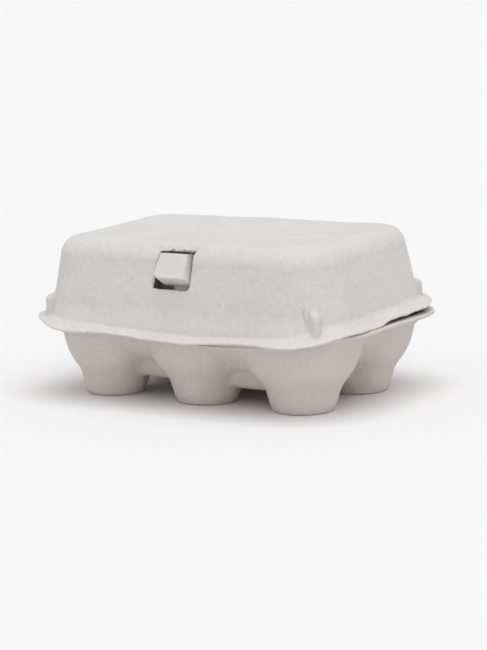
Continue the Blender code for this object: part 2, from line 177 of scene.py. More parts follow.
FLAP_GRID_HALF = 34 * MM

# The two folds.
FRAME_FOLD = 0.8 * MM  # thickness of the frame's own strip along the rear
FOLD_SHEET = 0.9 * MM
CREASE_SHEET = 1.0 * MM


# ---------------------------------------------------------------- small tools for heights and noise

def smooth_step(share):
    share = np.clip(share, 0, 1)
    return share * share * (3 - 2 * share)


def smooth_least(first, second, blend):
    share = np.maximum(blend - np.abs(first - second), 0) / blend
    return np.minimum(first, second) - share * share * blend / 4


def bump(value, centre, width):
    return np.exp(-(((value - centre) / width) ** 2))


def noise(points, size, seed=0):
    """Smooth noise from -1 to 1 at each point, in lumps of about the given size.

    The large numbers scatter the bits of each corner's place, so that its value looks random.
    """
    cell = np.asarray(points, float) / size + 31.7 + 7.31 * seed
    base = np.floor(cell).astype(np.int64)
    part = cell - base
    part = part * part * (3 - 2 * part)
    total = np.zeros(len(cell))
    for corner in itertools.product((0, 1), repeat=3):
        key = (base + np.array(corner)) @ np.array((73856093, 19349663, 83492791)) + 977 * seed
        key = ((key ^ (key >> 13)) * 1274126177) & 0x7FFFFFFF
        key = ((key ^ (key >> 15)) * 668265263) & 0x7FFFFFFF
        value = ((key >> 7) & 0xFFFF) / 32767.5 - 1
        total += value * np.prod(np.where(corner, part, 1 - part), axis=1)
    return total


def smoothed_table(profile, width):
    """A profile of straight lines, made round over about the given width."""
    radius = np.arange(0, 0.06, 0.0001)
    height = np.interp(radius, profile[:, 0], profile[:, 1])
    reach = np.arange(-3 * width, 3 * width + 1e-9, 0.0001)
    weight = np.exp(-((reach / width) ** 2) * 2)
    padded = np.pad(height, len(reach) // 2, "edge")
    return radius, np.convolve(padded, weight / weight.sum(), "valid")


def lip_line(x, points):
    """A height along the front lip, smooth through a few places given in millimetres."""
    places = np.array(points, float) * MM
    fine = np.arange(-90, 90.1, 0.5) * MM
    height = np.interp(fine, places[:, 0], places[:, 1])
    kernel = np.hanning(25)
    height = np.convolve(np.pad(height, 12, "edge"), kernel / kernel.sum(), "valid")
    return np.interp(x, fine, height)


# ---------------------------------------------------------------- a sheet of pulp with two sides

def face_normals(points, faces):
    a, b, c, d = (points[faces[:, i]] for i in range(4))
    return np.cross(c - a, d - b)


def vertex_normals(points, faces):
    total = np.zeros_like(points)
    flat = face_normals(points, faces)
    for i in range(4):
        np.add.at(total, faces[:, i], flat)
    length = np.linalg.norm(total, axis=1, keepdims=True)
    return total / np.maximum(length, 1e-12)


def edge_loops(faces):
    """The directed edges that only one face has."""
    edges = np.concatenate([faces[:, [i, (i + 1) % 4]] for i in range(4)])
    edges = edges[edges[:, 0] != edges[:, 1]]
    keys = np.sort(edges, axis=1)
    _, index, count = np.unique(keys, axis=0, return_inverse=True, return_counts=True)
    return edges[count[index.reshape(-1)] == 1]


def weld(points, faces, distance=0.00002):
    """Joins the points that patches share."""
    keys = np.round(points / distance).astype(np.int64)
    _, first, index = np.unique(keys, axis=0, return_index=True, return_inverse=True)
    return points[first], index.reshape(-1)[faces]


def thicken(points, faces, thickness=SHEET, rough=0.25 * MM, seed=0):
    """A closed sheet: the outer side as given, an inner side, and a round ragged edge between them.

    It returns the points, the faces, and how much each point belongs to a torn or cut edge.
    """
    normals = vertex_normals(points, faces)
    thickness = np.broadcast_to(thickness, len(points))[:, None]
    inner = points - normals * thickness
    edges = edge_loops(faces)
    count = len(points)
    outward = np.zeros_like(points)
    for start, end in ((0, 1), (1, 0)):
        along = points[edges[:, 1]] - points[edges[:, 0]]
        np.add.at(outward, edges[:, start], np.cross(along, normals[edges[:, start]]))
    rim = np.unique(edges)
    outward = outward[rim] / np.maximum(np.linalg.norm(outward[rim], axis=1, keepdims=True), 1e-12)
    place = np.full(count, -1)
    place[rim] = np.arange(len(rim))
    rows = []
    at_rim = thickness[rim]
    for angle in (-0.9, 0, 0.9):
        across = points[rim] - normals[rim] * at_rim * (0.5 - 0.5 * math.sin(angle))
        ragged = rough * noise(across, 0.9 * MM, seed + 5)[:, None]
        rows.append(across + outward * (0.42 * at_rim * math.cos(angle) + ragged))
    all_points = np.concatenate([points, inner] + rows[::-1])
    offsets = [0, 2 * count, 2 * count + len(rim), 2 * count + 2 * len(rim), count]
    sides = [faces, faces[:, ::-1] + count]
    index = [edges] + [place[edges]] * 3 + [edges]
    for low in range(4):
        a = index[low] + offsets[low]
        b = index[low + 1] + offsets[low + 1]
        sides.append(np.stack([a[:, 1], a[:, 0], b[:, 0], b[:, 1]], axis=1))
    torn = np.zeros(len(all_points))
    torn[2 * count:] = 1
    torn[rim] = torn[rim + count] = 0.6
    return all_points, np.concatenate(sides), torn


def add_piece(name, points, faces, material, torn):
    mesh = bpy.data.meshes.new(name)
    mesh.from_pydata(points.tolist(), [], [tuple(dict.fromkeys(face)) for face in faces.tolist()])
    mesh.validate()
    mesh.attributes.new("torn", "FLOAT", "POINT").data.foreach_set("value", torn.astype(np.float32))
    mesh.shade_smooth()
    mesh.materials.append(material)
    piece = bpy.data.objects.new(name, mesh)
    bpy.context.scene.collection.objects.link(piece)
    return piece


def roughen(points, faces, seed, fine=0.05 * MM, coarse=0.10 * MM):
    """The soft lumps and small pits of pulp that dried on a mould, along the surface's own normals."""
    normals = vertex_normals(points, faces)
    depth = coarse * noise(points, 7 * MM, seed) + 0.06 * MM * noise(points, 2.6 * MM, seed + 1)
    depth += fine * noise(points, 1.15 * MM, seed + 2)
    pits = np.maximum(noise(points, 1.9 * MM, seed + 3) - 0.62, 0)
    return points + normals * (depth - 0.55 * MM * pits)[:, None]


def warp(points, size, amount, seed):
    """A slow wander of the whole sheet, in all three directions."""
    shift = np.stack([noise(points, size, seed + i) for i in range(3)], axis=1)
    return points + amount * shift


# ---------------------------------------------------------------- the tray

CUP_TABLE = smoothed_table(CUP_PROFILE, 0.9 * MM)
POST_TABLE = smoothed_table(POST_PROFILE, 0.8 * MM)
RECESS_TABLE = smoothed_table(RECESS_PROFILE, 0.9 * MM)


def depth_inside(x, y):
    """How far a point lies in from the outline in which the cups end."""
    over_x = np.abs(x) - TRAY_HALF[0] + TRAY_CORNER
    over_y = np.abs(y) - TRAY_HALF[1] + TRAY_CORNER
    outside = np.hypot(np.maximum(over_x, 0), np.maximum(over_y, 0))
    return TRAY_CORNER - outside - np.minimum(np.maximum(over_x, over_y), 0)


def cup_radius(x, y, centre):
    """Distance from a cup's centre. It is round at the foot, and a rounded square at the top."""
    dx, dy = np.abs(x - centre[0]), np.abs(y - centre[1])
    round_one = np.hypot(dx, dy)
    square = (dx ** 4 + dy ** 4) ** 0.25
    share = 0.45 * smooth_step((round_one - 15 * MM) / (9 * MM))
    return round_one * (1 - share) + square * share


def tray_height(x, y):
    """Height of the underside of the tray's sheet: bowls, low webs, posts and the recessed wall."""
    bowl = np.min([np.interp(cup_radius(x, y, c), *CUP_TABLE) for c in CUP_CENTRES], axis=0)
    recess = np.interp(depth_inside(x, y), *RECESS_TABLE)
    post = np.min([np.hypot(x - c[0], y - c[1]) for c in POST_CENTRES], axis=0)
    divider = recess + np.interp(post, *POST_TABLE) - SADDLE_Z + WEB_SLOPE * np.clip(x, -PITCH / 2, PITCH / 2)
    return smooth_least(bowl, divider, 4 * MM)


def straight(start, end, step):
    count = max(1, round(float(np.linalg.norm(end - start)) / step))
    return [start + (end - start) * i / count for i in range(count)]


def arc(centre, radius, first, last, step):
    count = max(2, round(abs(last - first) * radius / step))
    angles = first + (last - first) * np.arange(count) / count
    return [centre + radius * np.array((math.cos(a), math.sin(a))) for a in angles]


def cup_outline(is_end):
    """A cup's outline about its centre, with +Y outwards, and +X outwards on an end cup."""
    half = PITCH / 2
    front = TRAY_HALF[1] - half
    quarter = math.pi / 2
    if not is_end:
        points = straight(np.array((half, POST_CUT - half)), np.array((half, front)), STEP)
        points += straight(np.array((half, front)), np.array((-half, front)), STEP)
        points += straight(np.array((-half, front)), np.array((-half, POST_CUT - half)), STEP)
        points += arc(np.array((-half, -half)), POST_CUT, quarter, 0, POST_STEP)
        points += straight(np.array((POST_CUT - half, -half)), np.array((half - POST_CUT, -half)), STEP)
        points += arc(np.array((half, -half)), POST_CUT, 2 * quarter, quarter, POST_STEP)
        return np.array(points)
    side = TRAY_HALF[0] - PITCH
    centre = np.array((side - TRAY_CORNER, front - TRAY_CORNER))
    turn = arc(centre, TRAY_CORNER, 0, quarter, STEP)
    points = straight(np.array((side, -half)), turn[0], STEP) + turn
    points += straight(centre + np.array((0, TRAY_CORNER)), np.array((-half, front)), STEP)
    points += straight(np.array((-half, front)), np.array((-half, POST_CUT - half)), STEP)
    points += arc(np.array((-half, -half)), POST_CUT, quarter, 0, POST_STEP)
    points += straight(np.array((POST_CUT - half, -half)), np.array((side, -half)), STEP)
    return np.array(points)


def ring_faces(rows, columns, start=0, close=True):
    """Quads between rows of points. The rows run round, or have two ends."""
    last = columns if close else columns - 1
    i, j = np.meshgrid(np.arange(rows - 1), np.arange(last), indexing="ij")
    i, j = i.ravel(), j.ravel()
    after = (j + 1) % columns
    low = start + i * columns
    high = low + columns
    return np.stack([low + j, low + after, high + after, high + j], axis=1)


def fan_faces(columns, tip, start=0):
    """Triangles from a ring to its tip, as quads whose last two corners are the same."""
    j = np.arange(columns)
    tips = np.full(columns, tip)
    return np.stack([start + (j + 1) % columns, start + j, tips, tips], axis=1)


def lift(points_xy):
    return np.column_stack([points_xy, tray_height(points_xy[:, 0], points_xy[:, 1])])


def cup_patch(centre):
    """One cup's share of the tray's underside, as rings from the foot's middle to its outline."""
    outline = cup_outline(centre[0] != 0)
    direction = outline / np.linalg.norm(outline, axis=1, keepdims=True)
    rings = [direction * radius for radius in np.concatenate([
        np.linspace(3, 12, 6) * MM, np.linspace(12.6, 16.2, 9) * MM])]
    foot = rings[-1]
    rings += [foot + (outline - foot) * share for share in np.linspace(0, 1, 16)[1:]]
    flip = np.array((-1 if centre[0] < 0 else 1, -1 if centre[1] < 0 else 1))
    points = lift(np.concatenate(rings + [np.zeros((1, 2))]) * flip + centre)
    faces = ring_faces(len(rings), len(outline))
    faces = np.concatenate([faces, fan_faces(len(outline), len(points) - 1)])
    if flip[0] * flip[1] < 0:
        faces = faces[:, ::-1]
    return points, faces


def post_patch(centre):
    """A divider post's share of the tray's underside, from its foot up to its round tip."""
    columns = 4 * len(arc(np.zeros(2), POST_CUT, 0, math.pi / 2, POST_STEP))
    angles = 2 * math.pi * np.arange(columns) / columns
    spokes = np.stack([np.cos(angles), np.sin(angles)], axis=1)
    radii = np.concatenate([np.linspace(8, 4.4, 16), (3.9, 3.2, 2.4, 1.4)]) * MM
    rings = [spokes * radius for radius in radii]
    points = lift(np.concatenate(rings + [np.zeros((1, 2))]) + centre)
    faces = ring_faces(len(rings), columns)[:, ::-1]
    tip = fan_faces(columns, len(points) - 1, (len(rings) - 1) * columns)
    return points, np.concatenate([faces, tip])


def outline_normal(points, half, corner):
    """The outward direction at points on a rounded rectangle."""
    centre = np.clip(points[:, :2], corner - half, half - corner)
    away = points[:, :2] - centre
    return away / np.maximum(np.linalg.norm(away, axis=1, keepdims=True), 1e-12)


def add_rim_rows(points, faces):
    """Carries the sheet on from the cups' outline to the rim's edge, which wanders a little."""
    edges = edge_loops(faces)
    ring = np.unique(edges)
    place = np.full(len(points), -1)
    place[ring] = np.arange(len(ring))
    start = points[ring]
    outward = outline_normal(start, TRAY_HALF, TRAY_CORNER)
    side = RIM_HIGH[0] - TRAY_HALF[0]
    rear, front = RIM_HIGH[1] - TRAY_HALF[1], -RIM_LOW[1] - TRAY_HALF[1]
    along_y = np.where(outward[:, 1] > 0, rear, front - FRONT_RIM_SHY)
    reach = side * outward[:, 0] ** 2 + along_y * outward[:, 1] ** 2 - EDGE_BAND
    reach += REAR_CORNER_REACH * (outward[:, 0] * outward[:, 1]) ** 2 * (outward[:, 1] > 0)
    edge = 0.45 * MM * noise(start, 9 * MM, 3) + 0.2 * MM * noise(start, 2.2 * MM, 4)
    rows = 6
    base = ring
    total = len(points)
    for row in range(1, rows + 1):
        share = row / rows
        away = reach * share + edge * share ** 3
        flat = start[:, :2] + outward * away[:, None]
        height = start[:, 2] + (DECK_Z - start[:, 2]) * smooth_step(2 * share)
        height = height + 0.25 * MM * share ** 2 * noise(start, 21 * MM, 8)
        points = np.concatenate([points, np.column_stack([flat, height])])
        after = np.arange(total, total + len(ring))
        low, high = base[place[edges[:, 0]]], base[place[edges[:, 1]]]
        new_low, new_high = after[place[edges[:, 0]]], after[place[edges[:, 1]]]
        faces = np.concatenate([faces, np.stack([high, low, new_low, new_high], axis=1)])
        base = after
        total += len(ring)
    return points, faces


def edge_dip(x):
    """How far the tray's front edge hangs down, so that it stays under the lid's lip."""
    return np.maximum(DECK_Z + SHEET + 0.4 * MM - lip_line(x, LIP_FOOT), 0)


def front_dip(points):
    """The same for any point of the tray. It fades out inwards and downwards."""
    front = smooth_step((-points[:, 1] - 36 * MM) / (11 * MM))
    return edge_dip(points[:, 0]) * front * smooth_step((points[:, 2] - 14 * MM) / (12 * MM))


def draw_in_left(points):
    """The left end of this tray is drawn in a little, as pulp shrinks unevenly while it dries."""
    x, z = points[:, 0], points[:, 2]
    above_foot = 0.35 + 0.65 * smooth_step((z - 2 * MM) / (14 * MM))
    share = smooth_step((-x - 50 * MM) / (16 * MM)) * above_foot
    points[:, 0] += LEFT_DRAWN_IN * share
    return points


def build_tray(material):
    """Cups, saddles, posts and rim, pressed from one sheet."""
    points, faces = np.zeros((0, 3)), np.zeros((0, 4), int)
    for patch, centres in ((cup_patch, CUP_CENTRES), (post_patch, POST_CENTRES)):
        for centre in centres:
            more_points, more_faces = patch(centre)
            faces = np.concatenate([faces, more_faces + len(points)])
            points = np.concatenate([points, more_points])
    points, faces = weld(points, faces)
    points, faces = add_rim_rows(points, faces)
    points[:, 2] -= front_dip(points)
    points = draw_in_left(points)
    grounded = points[:, 2] < 1.5 * MM  # the soles of the feet, which stay flat
    wandered = warp(points, 26 * MM, 0.35 * MM, 11)
    wandered[grounded, 2] = points[grounded, 2]
    points, faces, torn = thicken(wandered, faces, seed=1)
    points = roughen(points, faces, 21)
    points[:, 2] = np.maximum(points[:, 2], 0.02 * MM)
    return add_piece("tray_skin", points, faces, material, TRAY_FRAY * torn)


# ---------------------------------------------------------------- the lid

def side_distances(half, corner, fine_middle=0.0, fine_end=7 * MM):
    """Where the columns stand along half a side of the lid, close together at the window and the lugs."""
    length = half - corner + corner * math.pi / 4
    stretches = ((0, fine_middle, 0.6 * MM), (fine_middle, length - fine_end, 1.15 * MM),
                 (length - fine_end, length, 0.45 * MM))
    distances = [np.linspace(start, end, round((end - start) / step) + 1)[1:]
                 for start, end, step in stretches]
    distances = np.concatenate([np.zeros(1)] + distances) / length
    return np.concatenate([-distances[:0:-1], distances])


COLUMNS_X = side_distances(LID_FOOT_HALF[0], LID_FOOT_CORNER, 13 * MM)
COLUMNS_Y = side_distances(LID_FOOT_HALF[1], LID_FOOT_CORNER)


def side_point(share, half_across, half_along, corner):
    """A point of a rounded rectangle's side: how far across, and how far along. Share is -1 to 1."""
    straight_part = half_along - corner
    distance = np.abs(share) * (straight_part + corner * math.pi / 4)
    angle = np.maximum(distance - straight_part, 0) / np.maximum(corner, 1e-9)
    along = np.minimum(distance, straight_part) + corner * np.sin(angle)
    across = half_across - corner + corner * np.cos(angle)
    return across, np.sign(share) * along


def outline_ring(half, corner):
    """A rounded rectangle on the lid's columns, anticlockwise from the lower right corner."""
    x_right, y_right = side_point(COLUMNS_Y[:-1], half[0], half[1], corner)
    y_top, x_top = side_point(COLUMNS_X[:0:-1], half[1], half[0], corner)
    right = np.stack([x_right, y_right], axis=1)
    top = np.stack([x_top, y_top], axis=1)
    return np.concatenate([right, top, -right, -top])


def roof_grid(half, corner):
    """The flat of the roof as a grid, whose edge is the outline in the lid's columns."""
    a, b = np.meshgrid(COLUMNS_X, COLUMNS_Y, indexing="ij")
    a, b = a.ravel(), b.ravel()
    ring = np.maximum(np.maximum(np.abs(a), np.abs(b)), 1e-9)
    wide = np.abs(a) >= np.abs(b)
    x_side, y_side = side_point(b / ring, half[0], half[1], corner)
    y_end, x_end = side_point(a / ring, half[1], half[0], corner)
    x = np.where(wide, np.sign(a) * x_side, x_end) * ring
    y = np.where(wide, y_side, np.sign(b) * y_end) * ring
    count_x, count_y = len(COLUMNS_X), len(COLUMNS_Y)
    i, j = np.meshgrid(np.arange(count_x - 1), np.arange(count_y - 1), indexing="ij")
    first = (i * count_y + j).ravel()
    faces = np.stack([first, first + count_y, first + count_y + 1, first + 1], axis=1)
    right = [(count_x - 1) * count_y + j for j in range(count_y - 1)]
    top = [i * count_y + count_y - 1 for i in range(count_x - 1, 0, -1)]
    left = [j for j in range(count_y - 1, 0, -1)]
    bottom = [i * count_y for i in range(count_x - 1)]
    return np.stack([x, y], axis=1), faces, np.array(right + top + left + bottom)


def lid_rows():
    """Rows of the lid's outer side from the roof's edge down to the flange's edge, in the lid's frame."""
    rows = []
    spring = LID_HEIGHT - LID_FILLET
    for angle in np.linspace(90, 0, 13)[1:]:
        turn = math.radians(angle)
        pull = LID_FILLET * (1 - math.cos(turn))
        ring = outline_ring(LID_TOP_HALF - pull, LID_TOP_CORNER - pull)
        rows.append(np.column_stack([ring, np.full(len(ring), spring + LID_FILLET * math.sin(turn))]))
    foot = SHEET + FOOT_FILLET
    for height in np.linspace(spring, foot, 21)[1:]:
        share = (height - SHEET) / (spring - SHEET)
        half = LID_FOOT_HALF + (LID_TOP_HALF - LID_FOOT_HALF) * share
        corner = LID_FOOT_CORNER + (LID_TOP_CORNER - LID_FOOT_CORNER) * share
        ring = outline_ring(half, corner)
        rows.append(np.column_stack([ring, np.full(len(ring), height)]))
    base = rows[-1][:, :2]
    edge_ring = outline_ring(LID_FLANGE_HALF - EDGE_BAND, LID_FLANGE_CORNER - EDGE_BAND)
    for share in FLANGE_SHARES:
        flat = base + (edge_ring - base) * share
        away = share * (LID_FLANGE_HALF[0] - LID_FOOT_HALF[0])
        run = max(FOOT_FILLET - away, 0)
        height = SHEET + FOOT_FILLET - math.sqrt(FOOT_FILLET ** 2 - run ** 2)
        rows.append(np.column_stack([flat, np.full(len(flat), height)]))
    return rows


def lid_to_world(points):
    """From the lid's frame to the frame that the carton stands in: the rear is tilted up."""
    pivot = np.array((0, -LID_FOOT_HALF[1], 0))
    turn = np.array(Matrix.Rotation(LID_TILT, 3, "X"))
    return (points - pivot) @ turn.T + pivot + np.array((0, 0, LID_FRONT_Z))


def hang_front_lip(points, flange_share):
    """In front, brings the wall's foot down to its wavy line, and bends the lip out and down from it."""
    forward = -points[:, 1] / LID_FLANGE_HALF[1]  # 1 at the flange's front edge
    wall_front = smooth_step((forward - 0.80) / 0.09)
    flange_front = smooth_step((forward - 0.62) / 0.3) * (flange_share > 0)
    front = np.maximum(wall_front, flange_front)
    world_z = points[:, 2] + LID_FRONT_Z
    foot_z = lip_line(points[:, 0], LIP_FOOT)
    last = SHEET + FOOT_FILLET
    near_foot = smooth_step((14 * MM - points[:, 2]) / (14 * MM - last))
    wall_z = world_z - near_foot * (LID_FRONT_Z + last - foot_z - FRONT_FILLET)
    away = flange_share * (LID_FLANGE_HALF[1] - LID_FOOT_HALF[1])
    run = np.maximum(FRONT_FILLET - away, 0)
    concave = FRONT_FILLET - np.sqrt(np.maximum(FRONT_FILLET ** 2 - run ** 2, 0))
    fall = foot_z - lip_line(points[:, 0], LIP_EDGE)
    slope = fall * np.maximum(away - 0.6 * FRONT_FILLET, 0) / LIP_RUN
    lip_z = foot_z + concave - slope
    target = np.where(flange_share > 0, lip_z, wall_z)
    points[:, 2] += front * (target - world_z)
    flare = smooth_step((LID_FRONT_Z + 7 * MM - target) / (9 * MM)) * (1 - flange_share)
    points[:, 1] -= WALL_FLARE * front * flare
    points[:, 1] -= LIP_REACH * front * np.where(flange_share > 0, flange_share ** 2, 0)
    return points


def settle_sides(points, flange_share):
    """Beside the front corners the flange sags onto the tray's rim, and its edge wanders."""
    sag = smooth_step((8 * MM - points[:, 1]) / (24 * MM)) * smooth_step((points[:, 1] + 54 * MM) / (8 * MM))
    sag = np.maximum(sag, 0.4 * smooth_step((52 * MM - points[:, 1]) / (30 * MM)) * (points[:, 1] > -16 * MM))
    gap = 1.3 * MM + (points[:, 1] + LID_FOOT_HALF[1]) * math.tan(LID_TILT)
    points[:, 2] -= sag * gap * smooth_step(flange_share / 0.9)
    wander = 0.25 * MM * noise(points, 10 * MM, 31) + 0.22 * MM * noise(points, 2.4 * MM, 32)
    outward = outline_normal(points, LID_FLANGE_HALF, LID_FLANGE_CORNER)
    points[:, :2] += outward * (wander * flange_share ** 3)[:, None]
    points[:, 2] += 0.18 * MM * noise(points, 6 * MM, 33) * flange_share ** 2
    return points


def raise_lugs(points, flange_share):
    """Pushes the four denesting lugs out of the lid's corners, and the fine crease beside one of them."""
    corner = LID_FOOT_HALF - LID_FOOT_CORNER
    for side_x, side_y in itertools.product((-1, 1), repeat=2):
        away = points[:, :2] * (side_x, side_y) - corner
        out = (away[:, 0] + away[:, 1]) / math.sqrt(2)
        across = (away[:, 1] - away[:, 0]) / math.sqrt(2) * side_x * -side_y - LUG_SHIFT[side_x, side_y]
        height = points[:, 2]
        top = np.clip((height - (LUG_HEIGHT - 2 * MM)) / (2 * MM), 0, 1)
        width = LUG_HALF_WIDTH * np.sqrt(np.maximum(1 - 0.75 * top ** 2, 0))
        round_side = np.sqrt(np.maximum(1 - (across / np.maximum(width, 1e-9)) ** 2, 0))
        face = LID_FOOT_CORNER - 1.6 * MM + LUG_PROUD * round_side ** 0.6 - 0.05 * height
        inside = (np.abs(across) < width) & (out > 8 * MM) & (height < LUG_HEIGHT) & (height > 0)
        push = np.where(inside, np.maximum(face - out, 0), 0)
        push *= np.where(top > 0, np.sqrt(np.maximum(1 - top ** 2, 0)), 1)
        points[:, 0] += side_x * push / math.sqrt(2)
        points[:, 1] += side_y * push / math.sqrt(2)
        if (side_x, side_y) == (1, -1):
            line = 2.6 * MM + 0.16 * height
            groove = bump(across, line, GROOVE_WIDTH) * (height > 2.6 * MM) * (height < 11 * MM) * (out > 0)
            points[:, 0] -= groove * GROOVE_DEPTH / math.sqrt(2)
            points[:, 1] += groove * GROOVE_DEPTH / math.sqrt(2)
    return points


def window_sides(height):
    """X of the window's left and right edges at a height."""
    span = (WINDOW_LOW, WINDOW_HIGH)
    ends = zip(WINDOW_LOW_X, WINDOW_HIGH_X)
    return [np.interp(height, span, pair) for pair in ends]


def window_mask(points, faces):
    """The faces that the lock window takes out of the front wall."""
    x, y, z = points[faces].mean(axis=1).T
    left, right = window_sides(z)
    return (x > left) & (x < right) & (y < 0) & (z > WINDOW_LOW) & (z < WINDOW_HIGH)


def shape_window(points, faces):
    """Pulls the edge of the window onto its real outline: smooth sides and a torn upper edge."""
    rim = np.unique(edge_loops(faces))
    rim = rim[(np.abs(points[rim, 0]) < 15 * MM) & (points[rim, 2] > WINDOW_LOW - 2 * MM)]
    here = points[rim]
    left, right = window_sides(here[:, 2])
    beyond_sides = [left - here[:, 0], here[:, 0] - right]
    beyond_ends = [WINDOW_LOW - here[:, 2], here[:, 2] - WINDOW_HIGH]
    which = np.argmax(np.stack(beyond_sides + beyond_ends), axis=0)
    ragged = 0.5 * MM * noise(here, 2.1 * MM, 41) + 0.35 * MM * noise(here, 0.9 * MM, 42)
    here[:, 0] = np.where(which == 0, left + 0.2 * ragged, here[:, 0])
    here[:, 0] = np.where(which == 1, right + 0.2 * ragged, here[:, 0])
    here[:, 2] = np.where(which == 2, WINDOW_LOW + 0.25 * ragged, here[:, 2])
    here[:, 2] = np.where(which == 3, WINDOW_HIGH + ragged, here[:, 2])
    below = np.maximum(WINDOW_LOW + WINDOW_CORNER - here[:, 2], 0)
    for side, edge in ((-1, window_sides(WINDOW_LOW)[0]), (1, window_sides(WINDOW_LOW)[1])):
        inner = np.maximum(side * (here[:, 0] - edge) + WINDOW_CORNER, 0)
        length = np.maximum(np.hypot(inner, below), 1e-9)
        pull = np.where((inner > 0) & (below > 0), np.minimum(WINDOW_CORNER / length, 1), 1)
        here[:, 0] += side * inner * (pull - 1)
        here[:, 2] += below * (1 - pull)
    points[rim] = here
    return points


def build_lid(material):
    """Roof, walls, flange, lugs and window, pressed from one sheet."""
    rows = lid_rows()
    roof_half = LID_TOP_HALF - LID_FILLET
    roof, faces, border = roof_grid(roof_half, LID_TOP_CORNER - LID_FILLET)
    points = np.column_stack([roof, np.full(len(roof), LID_HEIGHT)])
    start = len(points)
    count = len(border)
    first = np.arange(start, start + count)
    j = np.arange(count)
    after = (j + 1) % count
    seam = np.stack([border[j], first[j], first[after], border[after]], axis=1)
    wall = ring_faces(len(rows), count, start)[:, [0, 3, 2, 1]]
    points = np.concatenate([points] + rows)
    faces = np.concatenate([faces, seam, wall])
    flange_share = np.zeros(len(points))
    flange_rows = len(FLANGE_SHARES) * count
    flange_share[-flange_rows:] = np.repeat(FLANGE_SHARES, count)
    faces = faces[~window_mask(points, faces)]
    used = np.unique(faces)
    renumber = np.full(len(points), -1)
    renumber[used] = np.arange(len(used))
    points, faces, flange_share = points[used], renumber[faces], flange_share[used]
    points = shape_window(points, faces)
    points = hang_front_lip(points, flange_share)
    points = raise_lugs(points, flange_share)
    points = settle_sides(points, flange_share)
    points = warp(points, *LID_WANDER)
    points, faces, torn = thicken(points, faces, SHEET * (1 - 0.4 * smooth_step(flange_share)), seed=2)
    points = roughen(points, faces, 61, 0.06 * MM, 0.17 * MM)
    return add_piece("lid_skin", lid_to_world(points), faces, material, LID_FRAY * torn)


def build_window_fray(material):
    """Torn fibres that hang from the upper edge of the window."""
    across = np.linspace(WINDOW_HIGH_X[0] - 0.2 * MM, WINDOW_HIGH_X[1] + 0.2 * MM, 90)
    rise = (WINDOW_HIGH - LID_HEIGHT + LID_FILLET) / LID_FILLET
    wall_y = -LID_TOP_HALF[1] + LID_FILLET * (1 - math.sqrt(1 - rise ** 2))
    rows = []
    for share in (0, 0.25, 0.5, 0.75, 1.0):
        row = np.column_stack([across, np.full(len(across), wall_y), np.full(len(across), WINDOW_HIGH)])
        hang = FRAY_LENGTH * (1 + 0.6 * noise(row, 2.3 * MM, 43) + 0.5 * noise(row, 0.8 * MM, 44))
        row[:, 1] -= (0.2 + 0.9 * share) * MM
        row[:, 2] += 0.9 * MM - share * hang
        rows.append(row)
    points = warp(np.concatenate(rows), *LID_WANDER)
    faces = ring_faces(len(rows), len(across), close=False)[:, ::-1]
    points, faces, torn = thicken(points, faces, 0.5 * MM, 0.15 * MM, seed=4)
    return add_piece("window_fray", lid_to_world(points), faces, material, np.ones(len(torn)))


# ---------------------------------------------------------------- the lock flap and the two folds

def flap_to_world(points):
    turn = np.array(Matrix.Rotation(-FLAP_LEAN, 3, "X"))
    return points @ turn.T + CREASE


def button_depth(across, up):
    """How far the button stands off the flap: a wedge with sloping sides and a blunt lower end."""
    low, high = BUTTON_SPAN
    rise = np.interp(up, BUTTON_SPAN, BUTTON_DEPTH)
    share = np.interp(up, BUTTON_SPAN, (1, BUTTON_TOP_SHARE))
    from_middle = np.abs(across - BUTTON_X)
    sides = rise * (BUTTON_HALF_FOOT * share - from_middle) / (BUTTON_HALF_FOOT - BUTTON_HALF_FACE)
    corner = BUTTON_CHAMFER * smooth_step((BUTTON_X - 5 * MM - across) / (3 * MM))
    foot = BUTTON_DEPTH[0] * (up - low - corner) / BUTTON_END
    top = BUTTON_DEPTH[1] * (high + 0.6 * MM - up) / BUTTON_TOP
    face_and_sides = smooth_least(rise, sides, BUTTON_ROUND)
    ends = smooth_least(foot, top, BUTTON_ROUND)
    return np.maximum(smooth_least(face_and_sides, ends, BUTTON_ROUND), 0)


